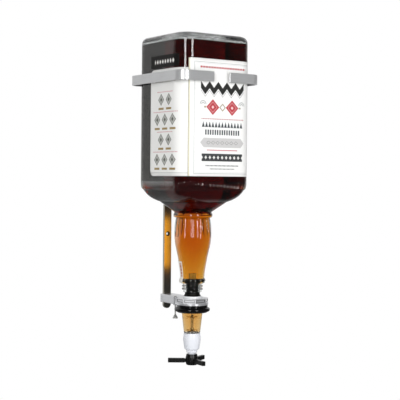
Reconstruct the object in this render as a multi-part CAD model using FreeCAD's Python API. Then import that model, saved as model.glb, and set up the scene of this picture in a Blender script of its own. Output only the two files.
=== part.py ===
"""Liquor optic dispenser: a 4.5-litre square spirit bottle hung upside down in a wall bracket,
with a push-up spirit measure (an optic) under its neck.

Millimetres. +Z is up, the wall is the plane Y = 0 and the front looks along -Y. X = 0 is the middle
of the back bar. The origin lies on the wall, half-way between the two holes for wall screws.
"""
import FreeCAD, Part
import math
import os

# ---------------------------------------------------------------- driving dimensions
clearance = 0.3  # between pieces that move past each other
fit = 0.1  # between pieces that are pushed or screwed together
wall_clearance = 0.5  # bracket castings stay this far off the wall

bar_width = 14.0
bar_thickness = 4.5
bar_top = 164.0
bar_bottom = -237.0

wall_hole_spacing = 220.0
wall_hole_radius = 2.3
countersink_radius = 3.7
countersink_depth = 1.4

saddle_wall = 3.0  # metal in front of the bar where a casting straddles it
ring_cheek = 4.0  # metal at each side of the bar, in the bottle ring
arm_cheek = 4.5  # metal at each side of the bar, in the holder arm
grub_radius = 1.5
grub_length = 4.6
socket_radius = 0.8  # to the corners of the hexagon
socket_depth = 1.5

bottle_side = 141.0
bottle_corner = 28.0
bottle_height = 418.0
bottle_heel = 10.0  # rounding of the base edge
glass_wall = 4.0
base_thickness = 9.0
fill_gap = 13.0  # from the outside of the base to the spirit's surface
glass_film = 0.2  # keeps the spirit's solid off the glass
shoulder_height = 33.8  # curved part of the shoulder
dome_fullness = 0.94  # 1 would carry the shoulder's curve in level
dome_shares = (0.0, 0.22, 0.46, 0.72, 1.0)  # how far down the shoulder its sections lie
cone_height = 16.2  # straight part, down to the neck
cone_section = (48.0, 29.0)  # half side and corner radius where the cone starts
neck_length = 132.0
neck_radius = 31.5  # at the foot of the cone
neck_wall = 4.3
neck_outline = ((27.9, 0.0), (30.3, 0.13), (30.6, 0.21), (29.0, 0.44), (24.9, 0.63), (22.9, 0.74),
                (20.7, 0.87), (19.5, 1.0))  # radius of the bulb, and share of the way down it
collar_drop = 2.5  # from the foot of the cone to the collar ring
collar_height = 6.6
collar_rise = 0.6
bulb_drop = 1.3  # from the collar ring to the bulb
bead_height = 8.5  # glass bead over the threaded mouth
bead_rise = 1.9
flute_count = 16  # upright hollows round the bulb
flute_radius = 6.5
flute_depth = 1.4  # at the bulb's widest
flute_length = 36.0
finish_length = 14.0  # threaded mouth
finish_radius = 15.4
finish_bore = 11.0
thread_heights = (3.4, 8.2)  # of the ridges, above the lip
thread_rise = 2.0
thread_width = 3.0

ring_gap = 5.5  # between bottle and bottle ring
ring_thickness = 3.0
ring_height = 16.0
ring_drop = 10.0  # from the bar's top end to the ring
ring_corner = 17.3
ring_opening = 29.5
ring_edge = 0.7
ring_end_round = 1.35  # upright edges at the opening

label_thickness = 0.25
label_foot_gap = 8.0  # from the shoulder up to the labels
front_label_base_gap = 41.5  # from the front label up to the base
front_label_left = -56.5
front_label_right = 65.5
side_label_base_gap = 57.0
side_label_reach = 21.0  # how far the side labels run back from the bottle's axis
side_label_corner = 9.0
band_label_gap = 2.5  # over the side label
band_label_height = 20.0
band_label_right = -62.3
label_gap = 0.3

holder_top = -212.0
holder_flat = 24.5  # octagon: from its centre to a flat
panel_height = 7.7
rim_height = 3.3
rim_radius = 26.5
arm_height = 14.0
arm_edge = 1.2  # rounding along the arm
neck_clip_radius = 14.0  # the optic's neck, held in the octagon
panel_margin = 1.7
panel_depth = 0.7
gate_first = 120.0  # the gate's part of the octagon, degrees counter-clockwise from +X
gate_last = 292.5
tongue_length = 3.0
tongue_height = 3.0
tongue_width = 5.0
hinge_x = -15.5
hinge_y = 27.0  # from the optic's axis, towards the wall
knuckle_radius = 3.6
web_headings = (6.0, 18.0)  # the gate's web to its knuckle, past gate_first
web_sink = 1.0  # web inside the octagon's flat
ear_height = 3.4
pin_radius = 1.5
pin_head_rise = 0.9  # of the head over the pin, and its height
pin_end = 0.6  # pin below the lower ear
pin_tail_radius = 1.2
pin_tail = 15.0
pin_foot = 7.0
pin_foot_radius = 4.4
pin_foot_rim = 1.4

washer_thickness = 3.0
washer_radius = 15.5
stopper_foot = 7.0
stopper_foot_radius = 14.3
stopper_waist_radius = 12.4
stopper_plug = 21.0
stopper_core_radius = 9.6
stopper_ribs = 4
stopper_rib_start = 1.0  # above the lip
stopper_tip = 1.5  # bevel of the plug's top
rib_lip = 0.15  # share of a rib's pitch taken by its underside
rib_slope = 0.8  # share by which its cone is back at the core
spigot_radius = 7.0
spigot_height = 25.0
inlet_radius = 4.5
inlet_bore = 3.2
inlet_rise = 16.0  # inlet tube above the spigot

flange_radius = 25.7
flange_height = 4.1
flange_round = 0.8
hub_radius = 20.0
hub_height = 4.1
lock_radius = 29.4
lock_height = 7.9
lock_top_width = 4.0  # bevel above the ring's widest part
lock_widest = 0.4  # share of the way down
lock_draw = 3.4  # drawn in above the foot
lock_foot_start = 0.82
lock_foot = 5.0
gasket_thickness = 0.5
gasket_inset = 2.4  # from the inlet seat to the upper gasket
chamber_flange = 2.5
chamber_top_radius = 17.4
chamber_bottom_radius = 13.4
chamber_height = 35.0
chamber_wall = 1.8
chamber_floor = 2.0
chamber_ledge = 10.0  # below the chamber's flange
chamber_edge = 0.6
ledge_depth = 0.6

outlet_boss_radius = 7.9
outlet_boss_height = 4.0
outlet_boss_edge = 0.8
outlet_port = 4.5
nozzle_length = 27.3
nozzle_top_radius = 13.3
nozzle_waist_radius = 14.5
nozzle_waist_drop = 7.6  # from the nozzle's top
nozzle_waist_round = 3.2
nozzle_end_radius = 12.2
nozzle_chamfer = 1.5
nozzle_mouth = 1.3  # flat round the bore
nozzle_ceiling = 4.0
travel = 7.0  # of the plunger, upwards
sleeve_radius = 9.0
sleeve_length = 14.0
sleeve_edge = 0.6
sleeve_funnel = 3.0  # hollow in the sleeve's top
funnel_widening = 1.5
sleeve_show = 4.7  # sleeve seen below the nozzle at rest
running = 0.1  # sleeve in its bore, pins and spindle in theirs
tube_radius = 6.0
tube_show = 2.6  # tube seen between sleeve and hub
spout_bore = 4.2
spindle_radius = 1.6
spindle_tip = 3.0
collar_width = 1.0  # of the spindle's collars, beyond the rod
collar_length = 1.5
valve_radius = 6.6
valve_thickness = 2.4
seat_radius = 7.0  # inlet seat, where the valve meets it
seat_top_radius = 8.2
spider_thickness = 2.4
spider_leg = 1.2
spider_hub_wall = 1.2
seal_section = 0.9
seal_height = 5.0  # over the nozzle's mouth
spring_wire = 0.6
spring_turns = 5

actuator_hub_radius = 10.4
actuator_hub_height = 17.8
hub_waist = 0.55  # share of the way down to the hub's widest part
hub_top_draw = 1.7
hub_foot_draw = 2.2
hub_foot_edge = 0.8
arm_reach = 39.2
arm_width = 6.0
arm_depth = 7.2
arm_drop = 7.0  # from the hub's top to the arms
arm_heading = 146.0  # of the first arm, degrees counter-clockwise from +X
arm_neck = 1.4  # narrower start of an arm, beyond the hub
arm_neck_width = 4.2
arm_neck_depth = 5.8
arm_round = 0.7
grip_grooves = 12
groove_radius = 1.0
groove_place = 0.5  # grooves' centres beyond the hub
clip_thickness = 1.0
clip_width = 1.8

# ---------------------------------------------------------------- derived places
saddle_front = bar_thickness + saddle_wall
ring_back = wall_clearance + ring_thickness + ring_gap
axis_y = -(max(ring_back, saddle_front + clearance) + bottle_side / 2)
ring_bottom = bar_top - ring_drop - ring_height
octagon_side = holder_flat * math.tan(math.radians(22.5))
holder_bottom = holder_top - panel_height - rim_height
holder_bore = neck_clip_radius + clearance
washer_top = holder_top + washer_thickness
lip_z = washer_top + stopper_foot
base_z = lip_z + bottle_height
plug_top = lip_z + stopper_plug
spigot_top = holder_top + spigot_height
inlet_top = spigot_top + inlet_rise
neck_top = lip_z + neck_length
shoulder_foot = neck_top + cone_height
shoulder_top = shoulder_foot + shoulder_height
label_bottom = shoulder_top + label_foot_gap
front_label_top = base_z - front_label_base_gap
side_label_top = base_z - side_label_base_gap
band_label_bottom = side_label_top + band_label_gap
flange_top = holder_bottom - clearance
flange_bottom = flange_top - flange_height
hub_bottom = flange_bottom - hub_height
chamber_top = hub_bottom - gasket_thickness
chamber_bottom = chamber_top - chamber_flange - chamber_height
nozzle_top = chamber_bottom - gasket_thickness
nozzle_bottom = nozzle_top - nozzle_length
outlet_seat = nozzle_top + outlet_boss_height
seat_drop = hub_bottom - valve_thickness  # inlet seat, under the head
spring_top = nozzle_top - nozzle_ceiling
sleeve_bottom = nozzle_bottom - sleeve_show
sleeve_top = sleeve_bottom + sleeve_length
spider_top = sleeve_top - sleeve_funnel
hub_top = sleeve_bottom - tube_show
hub_end = hub_top - actuator_hub_height
outlet_valve_bottom = outlet_seat + clearance
inlet_valve_top = seat_drop - travel - clearance

AXIS = FreeCAD.Vector(0, axis_y, 0)
UP = FreeCAD.Vector(0, 0, 1)


# ---------------------------------------------------------------- helpers
def vec(x, y, z):
    return FreeCAD.Vector(x, y, z)


def box(x, y, z):
    """A box between pairs of limits; x, y, z are (low, high)."""
    size = [high - low for low, high in (x, y, z)]
    return Part.makeBox(*size, vec(x[0], y[0], z[0]))


def rod(radius, z_low, z_high, x=0.0, y=None):
    """An upright cylinder, on the bottle's axis unless told otherwise."""
    place = vec(x, axis_y if y is None else y, z_low)
    return Part.makeCylinder(radius, z_high - z_low, place, UP)


def ring_rod(outer, inner, z_low, z_high):
    return rod(outer, z_low, z_high).cut(rod(inner, z_low - 1, z_high + 1))


def turned(start, *steps):
    """A solid turned about the bottle's axis from a closed (radius, z) outline. A step is a point
    for a line, a pair of points for an arc through the first, or a list for a smooth curve."""
    def place(point):
        return vec(point[0], axis_y, point[1])

    edges = []
    at = start
    for step in steps + (start,):
        if isinstance(step, list):
            curve = Part.BSplineCurve()
            curve.interpolate([place(point) for point in [at] + step])
            edges.append(curve.toShape())
            at = step[-1]
        elif isinstance(step[0], tuple):
            edges.append(Part.Arc(place(at), place(step[0]), place(step[1])).toShape())
            at = step[1]
        elif place(step).distanceToPoint(place(at)) > 1e-6:
            edges.append(Part.makeLine(place(at), place(step)))
            at = step
    face = Part.Face(Part.Wire(edges))
    return face.revolve(AXIS, UP, 360)


def square_wire(half, corner, z):
    """A square with round corners about the bottle's axis, at one height."""
    flat = half - corner
    edges = []
    for quarter in range(4):
        turn = math.radians(90 * quarter)
        mid = turn + math.radians(45)
        centre = vec(flat * (math.cos(turn) - math.sin(turn)), flat * (math.sin(turn) + math.cos(turn)), 0)
        first = centre + vec(corner * math.cos(turn), corner * math.sin(turn), 0)
        middle = centre + vec(corner * math.cos(mid), corner * math.sin(mid), 0)
        last = centre + vec(-corner * math.sin(turn), corner * math.cos(turn), 0)
        edges.append(Part.Arc(first, middle, last).toShape())
        after = last + vec(-2 * flat * math.cos(turn), -2 * flat * math.sin(turn), 0)
        edges.append(Part.makeLine(last, after))
    wire = Part.Wire(edges)
    wire.translate(vec(0, axis_y, z))
    return wire


def square_bar(half, corner, z_low, z_high):
    return Part.Face(square_wire(half, corner, z_low)).extrude(vec(0, 0, z_high - z_low))


def rounded(shape, radius, chosen):
    """The shape with the edges that chosen(edge) picks rounded."""
    edges = [edge for edge in shape.Edges if chosen(edge)]
    return shape.makeFillet(radius, edges)


def level(z):
    """Picks the edges that lie flat at one height."""
    return lambda edge: abs(edge.BoundBox.ZMin - z) < 1e-4 and abs(edge.BoundBox.ZMax - z) < 1e-4


def slab(points, z_low, z_high):
    """A plate of a closed outline of (x, y) points measured from the optic's axis."""
    corners = [vec(x, axis_y + y, z_low) for x, y in points]
    return Part.Face(Part.makePolygon(corners + corners[:1])).extrude(vec(0, 0, z_high - z_low))


def polar(radius, degrees):
    return (radius * math.cos(math.radians(degrees)), radius * math.sin(math.radians(degrees)))


def sector(first, last, reach, z_low, z_high):
    """A wedge about the optic's axis between two headings."""
    steps = max(2, math.ceil((last - first) / 45))
    headings = [first + (last - first) * i / steps for i in range(steps + 1)]
    return slab([(0, 0)] + [polar(reach, heading) for heading in headings], z_low, z_high)


def radial_bar(x, width, depth, middle):
    """A flat bar out from the optic's axis between two distances, about one height."""
    return box(x, (axis_y - width / 2, axis_y + width / 2), (middle - depth / 2, middle + depth / 2))


# ---------------------------------------------------------------- wall bracket
def back_bar():
    """Flat bar with round ends, drilled and countersunk for two wall screws."""
    half = bar_width / 2
    inward = vec(0, 1, 0)
    bar = box((-half, half), (-bar_thickness, 0), (bar_bottom + half, bar_top - half))
    for end in (bar_bottom + half, bar_top - half):
        bar = bar.fuse(Part.makeCylinder(half, bar_thickness, vec(0, -bar_thickness, end), inward))
    for side in (-1, 1):
        front = vec(0, -bar_thickness, side * wall_hole_spacing / 2)
        hole = Part.makeCylinder(wall_hole_radius, bar_thickness, front, inward)
        sink = Part.makeCone(countersink_radius, wall_hole_radius, countersink_depth, front, inward)
        bar = bar.cut([hole, sink])
    return bar.removeSplitter()


def grub_heights():
    return (ring_bottom + ring_height / 2, holder_top - arm_height / 2)


def grub_place(z):
    return vec(bar_width / 2, -bar_thickness / 2, z)


def clamp_screws():
    """Two grub screws that press on the bar's right side, with hexagon sockets."""
    screws = []
    for z in grub_heights():
        screw = Part.makeCylinder(grub_radius, grub_length, grub_place(z), vec(1, 0, 0))
        outer = grub_place(z) + vec(grub_length, 0, 0)
        corners = []
        for turn in range(6):
            across, up = polar(socket_radius, 60 * turn)
            corners.append(outer + vec(0, across, up))
        socket = Part.Face(Part.makePolygon(corners + corners[:1])).extrude(vec(-socket_depth, 0, 0))
        screws.append(screw.cut(socket))
    return Part.makeCompound(screws)


def straddle(casting, z):
    """Cuts the bar's slot and the grub screw's hole out of a casting."""
    side = bar_width / 2 + fit
    slot = box((-side, side), (-bar_thickness - fit, 1), (z - 50, z + 50))
    hole = Part.makeCylinder(grub_radius + fit / 2, 40, grub_place(z), vec(1, 0, 0))
    return casting.cut(slot).cut(hole)


def bottle_ring():
    """Open band round the bottle, with a saddle at the back that slides on the bar."""
    half = bottle_side / 2 + ring_gap + ring_thickness
    ring_top = ring_bottom + ring_height
    band = square_bar(half, ring_corner, ring_bottom, ring_top)
    band = band.cut(square_bar(half - ring_thickness, ring_corner - ring_thickness, ring_bottom, ring_top))
    gap = ring_opening / 2
    front = axis_y - half
    opening = box((-gap, gap), (front - 1, front + ring_thickness + 1), (ring_bottom - 1, ring_top + 1))
    band = band.cut(opening)
    band = rounded(band, ring_end_round, lambda edge: abs(abs(edge.BoundBox.XMin) - gap) < 1e-4
                   and edge.BoundBox.ZLength > ring_height - 1)
    band = rounded(band, ring_edge, lambda edge: level(ring_top)(edge) or level(ring_bottom)(edge))
    side = bar_width / 2 + ring_cheek
    saddle = box((-side, side), (-saddle_front, -wall_clearance), (ring_bottom, ring_top))
    saddle = rounded(saddle, saddle_wall / 2,
                     lambda edge: edge.BoundBox.ZLength > 1 and edge.BoundBox.YMax < -bar_thickness)
    return straddle(band.fuse(saddle), grub_heights()[0]).removeSplitter()


# ---------------------------------------------------------------- octagonal holder
def octagon():
    """The whole octagonal holder before it is split: panels above, a round rim below."""
    headings = [22.5 + 45 * i for i in range(8)]
    corner = math.hypot(holder_flat, octagon_side)
    shape = slab([polar(corner, heading) for heading in headings], holder_top - panel_height, holder_top)
    shape = shape.fuse(rod(rim_radius, holder_bottom, holder_top - panel_height))
    half = octagon_side - panel_margin
    high = (holder_top - panel_height + panel_margin, holder_top - panel_margin)
    for facet in (0, 180, 225, 270, 315):
        recess = box((holder_flat - panel_depth, holder_flat + 1), (axis_y - half, axis_y + half), high)
        recess.rotate(AXIS, UP, facet)
        shape = shape.cut(recess)
    return shape.cut(rod(holder_bore, holder_bottom - 1, holder_top + 1))


def tongue(grow):
    """The gate's closing tongue; grown, it is the slot that takes it."""
    middle = holder_top - panel_height / 2
    across = (holder_flat + holder_bore) / 2
    shape = box((across - tongue_width / 2 - grow, across + tongue_width / 2 + grow),
                (axis_y - 1, axis_y + tongue_length + grow),
                (middle - tongue_height / 2 - grow, middle + tongue_height / 2 + grow))
    shape.rotate(AXIS, UP, gate_last)
    return shape


def hinge_rod(radius, z_low, z_high):
    return rod(radius, z_low, z_high, hinge_x, axis_y + hinge_y)


def arm_bottom():
    return holder_top - arm_height


def holder_arm():
    """Casting that straddles the bar and carries the fixed half of the octagon and the hinge ears."""
    turn = math.degrees(clearance / holder_bore)
    fixed = octagon().common(sector(gate_last - 360, gate_first - turn, 40, holder_bottom, holder_top))
    half = bar_width / 2 + arm_cheek
    deep_start = max(rim_radius, flange_radius + clearance) + clearance
    arm = box((-half, half), (axis_y + holder_flat - 4, -wall_clearance), (holder_bottom, holder_top))
    arm = arm.fuse(box((-half, half), (axis_y + deep_start, -wall_clearance), (arm_bottom(), holder_bottom)))
    arm = rounded(arm.removeSplitter(), arm_edge, lambda edge: edge.BoundBox.YLength > 20)
    ear_y = axis_y + hinge_y
    ears = []
    for low in (arm_bottom(), holder_top - ear_height):
        ear = hinge_rod(knuckle_radius, low, low + ear_height)
        web = box((hinge_x, -half + arm_edge), (ear_y - knuckle_radius, ear_y + knuckle_radius),
                  (low, low + ear_height))
        ears.append(ear.fuse(web).cut(rod(flange_radius + clearance, low - 1, low + ear_height + 1)))
    panel_y = (ear_y + knuckle_radius + panel_margin, -wall_clearance - 2 * panel_margin)
    panel_z = (arm_bottom() + 2 * panel_margin, holder_top - 2 * panel_margin)
    for x in ((-half - 1, -half + panel_depth), (half - panel_depth, half + 1)):
        arm = arm.cut(box(x, panel_y, panel_z))
    casting = fixed.fuse([arm] + ears)
    casting = casting.cut(hinge_rod(pin_radius + fit / 2, arm_bottom() - 1, holder_top + 1))
    knuckle_space = (arm_bottom() + ear_height, holder_top - ear_height)
    casting = casting.cut(hinge_rod(knuckle_radius + clearance, *knuckle_space))
    casting = casting.cut(tongue(clearance))
    casting = casting.cut(rod(holder_bore, holder_bottom - 1, holder_top + 1))
    return straddle(casting, grub_heights()[1]).removeSplitter()


def gate():
    """Front part of the octagon: it swings open about the pin so that the optic can be lifted out."""
    moving = octagon().common(sector(gate_first, gate_last, 40, holder_bottom, holder_top))
    low = arm_bottom() + ear_height + clearance
    high = holder_top - ear_height - clearance
    knuckle = hinge_rod(knuckle_radius, low, high)
    near, far = [polar(holder_flat - web_sink, gate_first + heading) for heading in web_headings]
    half = knuckle_radius / math.sqrt(2)
    web = slab([far, near, (hinge_x + half, hinge_y - half), (hinge_x - half, hinge_y)],
               max(low, holder_bottom), high)
    moving = moving.fuse([knuckle, web, tongue(0)])
    return moving.cut(hinge_rod(pin_radius + fit / 2, low - 1, high + 1)).removeSplitter()


def gate_pin():
    """Hinge pin with a long tail and a flared foot."""
    head_low = holder_top + clearance
    head = hinge_rod(pin_radius + pin_head_rise, head_low, head_low + pin_head_rise)
    head = head.fuse(hinge_rod(pin_radius, arm_bottom() - pin_end, head_low))
    tail_end = arm_bottom() - pin_tail
    tail = hinge_rod(pin_tail_radius, tail_end, arm_bottom())
    rim_top = tail_end - pin_foot + pin_foot_rim
    foot = Part.makeCone(pin_foot_radius, pin_tail_radius, tail_end - rim_top,
                         vec(hinge_x, axis_y + hinge_y, rim_top), UP)
    disc = hinge_rod(pin_foot_radius, tail_end - pin_foot, rim_top)
    return head.fuse([tail, foot, disc]).removeSplitter()


# ---------------------------------------------------------------- bottle
def bottle_body(inset):
    """Body and shoulder, every section drawn in by inset."""
    half = bottle_side / 2
    corner = bottle_corner
    body = square_bar(half - inset, corner - inset, shoulder_top, base_z - inset)
    body = rounded(body, max(bottle_heel - inset, 1.0), level(base_z - inset))
    low_half, low_corner = cone_section
    dome = []
    for share in dome_shares:
        bulge = 1 - math.sqrt(1 - (dome_fullness * share) ** 2)
        bulge = bulge / (1 - math.sqrt(1 - dome_fullness ** 2))
        section = half + (low_half - half) * bulge
        radius = corner + (low_corner - corner) * share
        z = shoulder_top - shoulder_height * share
        dome.append(square_wire(section - inset, radius - inset, z))
    cone = [square_wire(low_half - inset, low_corner - inset, shoulder_foot),
            square_wire(neck_radius - inset, neck_radius - inset - 0.2, neck_top)]
    shoulder = Part.makeLoft(dome, True, False)
    return body.fuse([shoulder, Part.makeLoft(cone, True, True)])


def neck_curve():
    """(radius, z) down the outside of the bulbous neck, under its collar ring."""
    start = neck_top - collar_drop - collar_height - bulb_drop
    end = lip_z + finish_length + bead_height
    return [(radius, start + (end - start) * share) for radius, share in neck_outline]


def neck_outside():
    """Collar ring, fluted bulb, glass bead and threaded mouth, as one turned solid."""
    curve = neck_curve()
    collar = neck_top - collar_drop
    root = neck_radius - collar_rise / 3
    finish_top = lip_z + finish_length
    foot = curve[-1][0]
    neck = turned((0, neck_top + 0.01), (neck_radius, neck_top + 0.01), (root - collar_rise, collar + 0.6),
                  (root, collar),
                  ((neck_radius + collar_rise, collar - collar_height / 2), (root, collar - collar_height)),
                  curve[0], curve[1:],
                  ((foot + bead_rise, finish_top + bead_height / 2), (foot - 1.5, finish_top)),
                  (finish_radius, finish_top), (finish_radius, lip_z), (0, lip_z))
    return neck.cut(flutes())


def flutes():
    """Rods that hollow the bulb all round: each leans out with the bulb and ends where that turns back."""
    curve = neck_curve()
    widest = max(curve)
    start = vec(curve[0][0] - flute_depth / 2, axis_y, curve[0][1])
    lean = vec(widest[0] - flute_depth, axis_y, widest[1]) - start
    lean.normalize()
    outward = vec(-lean.z, 0, lean.x)
    middle = start + outward * flute_radius + lean * bulb_drop / 2
    cutters = []
    for turn in range(flute_count):
        cutter = Part.makeCylinder(flute_radius, flute_length, middle, lean)
        cutter.rotate(AXIS, UP, 360 * (turn + 0.5) / flute_count)
        cutters.append(cutter)
    return cutters


def thread_ridges():
    """Ring-shaped ridges of the mouth's thread."""
    ridges = []
    for height in thread_heights:
        low = lip_z + height
        high = low + thread_width
        crest = (finish_radius + thread_rise, (low + high) / 2)
        ridges.append(turned((finish_radius - 0.5, low - 0.2), (finish_radius, low),
                             (crest, (finish_radius, high)), (finish_radius - 0.5, high + 0.2)))
    return ridges


def neck_inside(inset, floor):
    """The neck's bore, from the cone down to floor."""
    curve = [(radius - neck_wall - inset, z) for radius, z in neck_curve()]
    mouth = lip_z + finish_length
    top = neck_top + 0.01
    return turned((0, top), (neck_radius - glass_wall - inset, top), curve[0], curve[1:],
                  (finish_bore - inset, mouth + 1), (finish_bore - inset, floor), (0, floor))


def bottle():
    """Square bottle upside down, hollow, with a fluted neck and a threaded mouth."""
    outside = bottle_body(0).fuse([neck_outside()] + thread_ridges())
    cavity = bottle_body(glass_wall).cut(box((-200, 200), (-300, 200), (base_z - base_thickness, base_z)))
    inside = cavity.fuse(neck_inside(0, lip_z - 1))
    return outside.cut(inside).removeSplitter()


def spirit_fill():
    """The spirit in the upturned bottle, from its surface down to the stopper."""
    inset = glass_wall + glass_film
    level_z = base_z - fill_gap
    spirit = bottle_body(inset).cut(box((-200, 200), (-300, 200), (level_z, base_z)))
    spirit = spirit.fuse(neck_inside(glass_film, lip_z))
    spirit = spirit.cut(rod(neck_radius, lip_z - 1, plug_top + glass_film))
    return spirit.cut(rod(inlet_radius + glass_film, plug_top, inlet_top + glass_film)).removeSplitter()


def label_sheet(low, high):
    """Paper wrapped right round the bottle's body, between two heights."""
    half = bottle_side / 2 + fit / 2
    paper = label_thickness
    sheet = square_bar(half + paper, bottle_corner + fit / 2 + paper, low, high)
    return sheet.cut(square_bar(half, bottle_corner + fit / 2, low, high))


def label_piece(x, y, low, high):
    """The part of the sheet in a window of x and of y measured from the bottle's axis."""
    window = box(x, (axis_y + y[0], axis_y + y[1]), (low, high))
    return label_sheet(low, high).common(window)


def front_label():
    half = bottle_side / 2
    reach = (-half - 5, -bottle_side / 2 + bottle_corner)
    return label_piece((front_label_left, front_label_right), reach, label_bottom, front_label_top)


def side_label():
    """Label on the left face and round the near corner, with its rear corners rounded."""
    half = bottle_side / 2
    sheet = label_piece((-half - 5, front_label_left - label_gap), (-half - 5, side_label_reach),
                        label_bottom, side_label_top)
    rear = axis_y + side_label_reach
    return rounded(sheet, side_label_corner,
                   lambda edge: edge.BoundBox.YMin > rear - 1e-3 and edge.BoundBox.ZLength < 1e-3)


def band_label():
    """Dark strip over the side label."""
    half = bottle_side / 2
    return label_piece((-half - 5, band_label_right), (-half + 1, side_label_reach),
                       band_label_bottom, band_label_bottom + band_label_height)


# ---------------------------------------------------------------- optic, fixed pieces
def seat_washer():
    """White washer that carries the stopper on the holder."""
    return rounded(ring_rod(washer_radius, spigot_radius + fit, holder_top, washer_top), 0.5,
                   lambda edge: level(washer_top)(edge) and edge.Length > 60)


def stopper():
    """Rubber stopper: a flared foot under the bottle's lip and a ribbed plug in its mouth."""
    flare = (stopper_waist_radius + fit, (washer_top + lip_z) / 2)
    outline = [(flare, (stopper_waist_radius, lip_z)), (stopper_core_radius, lip_z)]
    pitch = (stopper_plug - stopper_rib_start - stopper_tip) / stopper_ribs
    for rib in range(stopper_ribs):
        z = lip_z + stopper_rib_start + pitch * rib
        outline.append((stopper_core_radius, z))
        outline.append((finish_bore - fit, z + pitch * rib_lip))
        outline.append((stopper_core_radius, z + pitch * rib_slope))
    outline.append((stopper_core_radius, plug_top - stopper_tip))
    outline.append((stopper_core_radius - stopper_tip, plug_top))
    outline.append((spigot_radius + fit, plug_top))
    return turned((spigot_radius + fit, washer_top), (stopper_foot_radius, washer_top), *outline)


def inlet_tube():
    """Steel tube that lets the spirit into the measure."""
    return ring_rod(inlet_radius, inlet_bore, flange_bottom, inlet_top)


def optic_head():
    """Black head: spigot in the stopper, neck in the holder, flange, hub and the inlet valve's seat."""
    bore = inlet_radius + fit / 2
    inset = flange_round * (1 - math.sqrt(0.5))
    round_mid = (flange_radius - inset, flange_top - inset)
    return turned((bore, spigot_top), (spigot_radius, spigot_top), (spigot_radius, holder_top),
                  (neck_clip_radius, holder_top), (neck_clip_radius, flange_top),
                  (flange_radius - flange_round, flange_top),
                  (round_mid, (flange_radius, flange_top - flange_round)),
                  (flange_radius, flange_bottom), (hub_radius, flange_bottom), (hub_radius, hub_bottom),
                  (seat_top_radius, hub_bottom), (seat_radius, seat_drop), (bore, seat_drop))


def lock_ring():
    """Black ring that screws on the head's hub and clamps the chamber's flange."""
    top = flange_bottom - clearance
    bottom = top - lock_height
    lip_top = chamber_top - chamber_flange - fit
    inner = chamber_top_radius + fit
    return turned((hub_radius + fit, top), (lock_radius - lock_top_width, top),
                  ((lock_radius, top - lock_height * lock_widest),
                   (lock_radius - lock_draw, top - lock_height * lock_foot_start)),
                  (lock_radius - lock_foot, bottom), (inner, bottom), (inner, lip_top),
                  (hub_radius + fit, lip_top))


def chamber_gasket():
    return ring_rod(hub_radius - fit, seat_top_radius + gasket_inset, chamber_top, hub_bottom)


def chamber_inside(inset):
    """(radius, z) up the inside of the chamber's wall, past its ledge, drawn in by inset."""
    ledge = chamber_top - chamber_flange - chamber_ledge
    slope = (chamber_top_radius - chamber_bottom_radius) / chamber_height
    at_ledge = chamber_top_radius - slope * chamber_ledge - chamber_wall - inset
    return [(chamber_bottom_radius - chamber_wall - inset, chamber_bottom + chamber_floor + inset),
            (at_ledge - ledge_depth, ledge - ledge_depth), (at_ledge, ledge),
            (chamber_top_radius - chamber_wall - inset, chamber_top - inset)]


def chamber():
    """Clear tapered measuring chamber, with a clamped flange and a floor."""
    body_top = chamber_top - chamber_flange
    hole = outlet_boss_radius + fit
    foot = chamber_edge
    return turned((hub_radius, chamber_top), (hub_radius, body_top), (chamber_top_radius, body_top),
                  (chamber_bottom_radius, chamber_bottom + foot),
                  (chamber_bottom_radius - foot, chamber_bottom), (hole, chamber_bottom),
                  (hole, chamber_bottom + chamber_floor), *chamber_inside(0))


def measure_fill():
    """One measure of spirit in the chamber, with room for both valves and their rod to travel."""
    around_rod = spindle_radius + collar_width + clearance
    around_valve = valve_radius + clearance
    above_boss = outlet_seat + glass_film
    low_room = outlet_valve_bottom + valve_thickness + travel + clearance
    high_room = inlet_valve_top - valve_thickness - clearance
    seat = seat_drop - clearance
    return turned((outlet_boss_radius + glass_film, chamber_bottom + chamber_floor + glass_film),
                  *chamber_inside(glass_film), (seat_top_radius + clearance, chamber_top - glass_film),
                  (seat_radius + clearance, seat), (around_valve, seat), (around_valve, high_room),
                  (around_rod, high_room), (around_rod, low_room), (around_valve, low_room),
                  (around_valve, above_boss), (outlet_boss_radius + glass_film, above_boss))


def nozzle_gasket():
    outer = chamber_bottom_radius - chamber_edge - fit
    return ring_rod(outer, outlet_boss_radius + fit, nozzle_top, chamber_bottom)


def nozzle_body():
    """White body under the chamber: outlet seat on top, the plunger's bore below."""
    bore = sleeve_radius + running
    waist = nozzle_top - nozzle_waist_drop
    inset = nozzle_waist_round ** 2 / nozzle_waist_drop / 4
    shape = turned((outlet_port, outlet_seat), (outlet_boss_radius - outlet_boss_edge, outlet_seat),
                   (outlet_boss_radius, outlet_seat - outlet_boss_edge), (outlet_boss_radius, nozzle_top),
                   (nozzle_top_radius, nozzle_top),
                   ((nozzle_waist_radius - inset, waist + nozzle_waist_round), (nozzle_waist_radius, waist)),
                   (nozzle_waist_radius, waist - nozzle_waist_round),
                   (nozzle_end_radius, nozzle_bottom + nozzle_chamfer), (bore + nozzle_mouth, nozzle_bottom),
                   (bore, nozzle_bottom), (bore, spring_top), (outlet_port, spring_top))
    groove = (nozzle_bottom + seal_height - seal_section, nozzle_bottom + seal_height + seal_section)
    return shape.cut(ring_rod(bore + 2 * seal_section, sleeve_radius, *groove))


def spout_seal():
    """Rubber ring in the nozzle's groove, round the sliding sleeve."""
    middle = sleeve_radius + running + seal_section
    centre = AXIS + vec(0, 0, nozzle_bottom + seal_height)
    return Part.makeTorus(middle, seal_section - fit / 2, centre, UP)


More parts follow.
